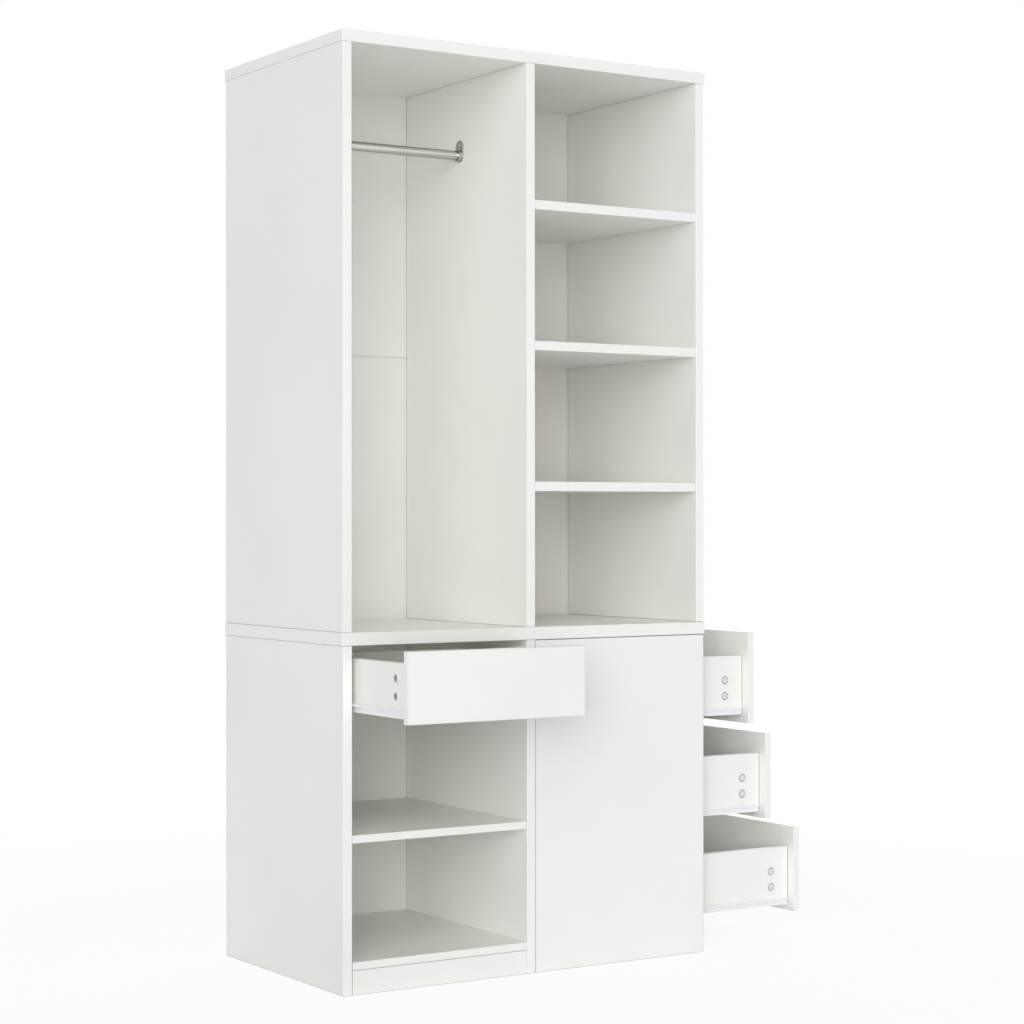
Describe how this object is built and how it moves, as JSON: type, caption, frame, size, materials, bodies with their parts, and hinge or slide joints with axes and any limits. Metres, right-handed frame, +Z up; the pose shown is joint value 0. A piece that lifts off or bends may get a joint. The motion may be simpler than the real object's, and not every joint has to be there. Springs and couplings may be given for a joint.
{
  "type": "open-front wardrobe",
  "caption": "Open-front wardrobe with a hanging bay, shelf compartments, open cubbies, a front drawer and drawers that pull out of one side.",
  "frame": {"origin": "centre of the carcass footprint on the floor, on the lower divider's underside", "axes": "+Z up, +X to the right along the front, -Y out of the open front"},
  "size_m": [1.111, 0.7, 1.8],
  "materials": {
    "white_board": "matt white melamine on chipboard",
    "drawer_board": "matt white melamine on chipboard",
    "white_sheet": "white painted hardboard",
    "packer_board": "white melamine strip",
    "beech": "plain turned beech",
    "brushed_rail": "brushed stainless tube",
    "socket_metal": "satin nickel plated die casting",
    "screw_steel": "zinc plated",
    "cam_zinc": "zinc die casting",
    "coated_steel": "white powder coat",
    "roller_nylon": "moulded nylon"
  },
  "bodies": {
    "carcass": {"top_panel": "white_board", "middle_panel": "white_board", "left_side_upper": "white_board", "right_side_upper": "white_board", "divider_upper": "white_board", "upper_shelf_1": "white_board", "upper_shelf_2": "white_board", "upper_shelf_3": "white_board", "left_side_lower": "white_board", "divider_lower": "white_board", "end_panel_front": "white_board", "end_panel_rear": "white_board", "bottom_board_left": "white_board", "bottom_board_right": "white_board", "plinth_front": "white_board", "plinth_side": "white_board", "lower_shelf": "white_board", "back_sheet_middle": "white_sheet", "back_sheet_top": "white_sheet", "back_sheet_lower": "white_sheet", "shelf_dowels": "beech", "hanging_rail": "brushed_rail", "rail_sockets": "socket_metal", "front_bay_tracks": "coated_steel", "side_bay_tracks": "coated_steel", "track_packers": "packer_board", "mounting_screws": "screw_steel"},
    "front_drawer": {"front_drawer_front": "white_board", "front_drawer_sides": "drawer_board", "front_drawer_back": "drawer_board", "front_drawer_bottom": "white_sheet", "front_drawer_cam_locks": "cam_zinc", "front_drawer_slides": "coated_steel"},
    "front_drawer_track_rollers": {"front_drawer_front_rollers": "roller_nylon"},
    "front_drawer_slide_rollers": {"front_drawer_rear_rollers": "roller_nylon"},
    "side_drawer_low": {"side_drawer_low_front": "white_board", "side_drawer_low_sides": "drawer_board", "side_drawer_low_back": "drawer_board", "side_drawer_low_bottom": "white_sheet", "side_drawer_low_cam_locks": "cam_zinc", "side_drawer_low_slides": "coated_steel"},
    "side_drawer_low_track_rollers": {"side_drawer_low_front_rollers": "roller_nylon"},
    "side_drawer_low_slide_rollers": {"side_drawer_low_rear_rollers": "roller_nylon"},
    "side_drawer_mid": {"side_drawer_mid_front": "white_board", "side_drawer_mid_sides": "drawer_board", "side_drawer_mid_back": "drawer_board", "side_drawer_mid_bottom": "white_sheet", "side_drawer_mid_cam_locks": "cam_zinc", "side_drawer_mid_slides": "coated_steel"},
    "side_drawer_mid_track_rollers": {"side_drawer_mid_front_rollers": "roller_nylon"},
    "side_drawer_mid_slide_rollers": {"side_drawer_mid_rear_rollers": "roller_nylon"},
    "side_drawer_top": {"side_drawer_top_front": "white_board", "side_drawer_top_sides": "drawer_board", "side_drawer_top_back": "drawer_board", "side_drawer_top_bottom": "white_sheet", "side_drawer_top_cam_locks": "cam_zinc", "side_drawer_top_slides": "coated_steel"},
    "side_drawer_top_track_rollers": {"side_drawer_top_front_rollers": "roller_nylon"},
    "side_drawer_top_slide_rollers": {"side_drawer_top_rear_rollers": "roller_nylon"}
  },
  "joints": [
    {"name": "front_drawer_slide", "type": "slide", "parent": "carcass", "child": "front_drawer", "axis": [0, -1, 0], "range_m": [-0.2035, 0.0965]},
    {"name": "front_drawer_track_rollers_spin", "type": "hinge", "parent": "carcass", "child": "front_drawer_track_rollers", "pos_m": [-0.20625, -0.2155, 0.5332], "axis": [1, 0, 0], "range_deg": [-1625, 773]},
    {"name": "front_drawer_slide_rollers_spin", "type": "hinge", "parent": "front_drawer", "child": "front_drawer_slide_rollers", "pos_m": [-0.20625, -0.045, 0.5298], "axis": [1, 0, 0], "range_deg": [-1625, 773]},
    {"name": "side_drawer_low_slide", "type": "slide", "parent": "carcass", "child": "side_drawer_low", "axis": [1, 0, 0], "range_m": [-0.2695, 0.0055]},
    {"name": "side_drawer_low_track_rollers_spin", "type": "hinge", "parent": "carcass", "child": "side_drawer_low_track_rollers", "pos_m": [0.388, 0, 0.0767], "axis": [0, 1, 0], "range_deg": [-2150, 49]},
    {"name": "side_drawer_low_slide_rollers_spin", "type": "hinge", "parent": "side_drawer_low", "child": "side_drawer_low_slide_rollers", "pos_m": [0.3335, 0, 0.0733], "axis": [0, 1, 0], "range_deg": [-2150, 49]},
    {"name": "side_drawer_mid_slide", "type": "slide", "parent": "carcass", "child": "side_drawer_mid", "axis": [1, 0, 0], "range_m": [-0.1925, 0.0825]},
    {"name": "side_drawer_mid_track_rollers_spin", "type": "hinge", "parent": "carcass", "child": "side_drawer_mid_track_rollers", "pos_m": [0.388, 0, 0.2785], "axis": [0, 1, 0], "range_deg": [-1537, 662]},
    {"name": "side_drawer_mid_slide_rollers_spin", "type": "hinge", "parent": "side_drawer_mid", "child": "side_drawer_mid_slide_rollers", "pos_m": [0.2565, 0, 0.2751], "axis": [0, 1, 0], "range_deg": [-1537, 662]},
    {"name": "side_drawer_top_slide", "type": "slide", "parent": "carcass", "child": "side_drawer_top", "axis": [1, 0, 0], "range_m": [-0.147, 0.128]},
    {"name": "side_drawer_top_track_rollers_spin", "type": "hinge", "parent": "carcass", "child": "side_drawer_top_track_rollers", "pos_m": [0.388, 0, 0.4848], "axis": [0, 1, 0], "range_deg": [-1175, 1024]},
    {"name": "side_drawer_top_slide_rollers_spin", "type": "hinge", "parent": "side_drawer_top", "child": "side_drawer_top_slide_rollers", "pos_m": [0.211, 0, 0.4814], "axis": [0, 1, 0], "range_deg": [-1175, 1024]}
  ],
  "couplings": [
    {"joint": "front_drawer_track_rollers_spin", "follows": "front_drawer_slide", "rad_per_m": 138.89},
    {"joint": "front_drawer_slide_rollers_spin", "follows": "front_drawer_slide", "rad_per_m": 138.89},
    {"joint": "side_drawer_low_track_rollers_spin", "follows": "side_drawer_low_slide", "rad_per_m": 138.89},
    {"joint": "side_drawer_low_slide_rollers_spin", "follows": "side_drawer_low_slide", "rad_per_m": 138.89},
    {"joint": "side_drawer_mid_track_rollers_spin", "follows": "side_drawer_mid_slide", "rad_per_m": 138.89},
    {"joint": "side_drawer_mid_slide_rollers_spin", "follows": "side_drawer_mid_slide", "rad_per_m": 138.89},
    {"joint": "side_drawer_top_track_rollers_spin", "follows": "side_drawer_top_slide", "rad_per_m": 138.89},
    {"joint": "side_drawer_top_slide_rollers_spin", "follows": "side_drawer_top_slide", "rad_per_m": 138.89}
  ]
}
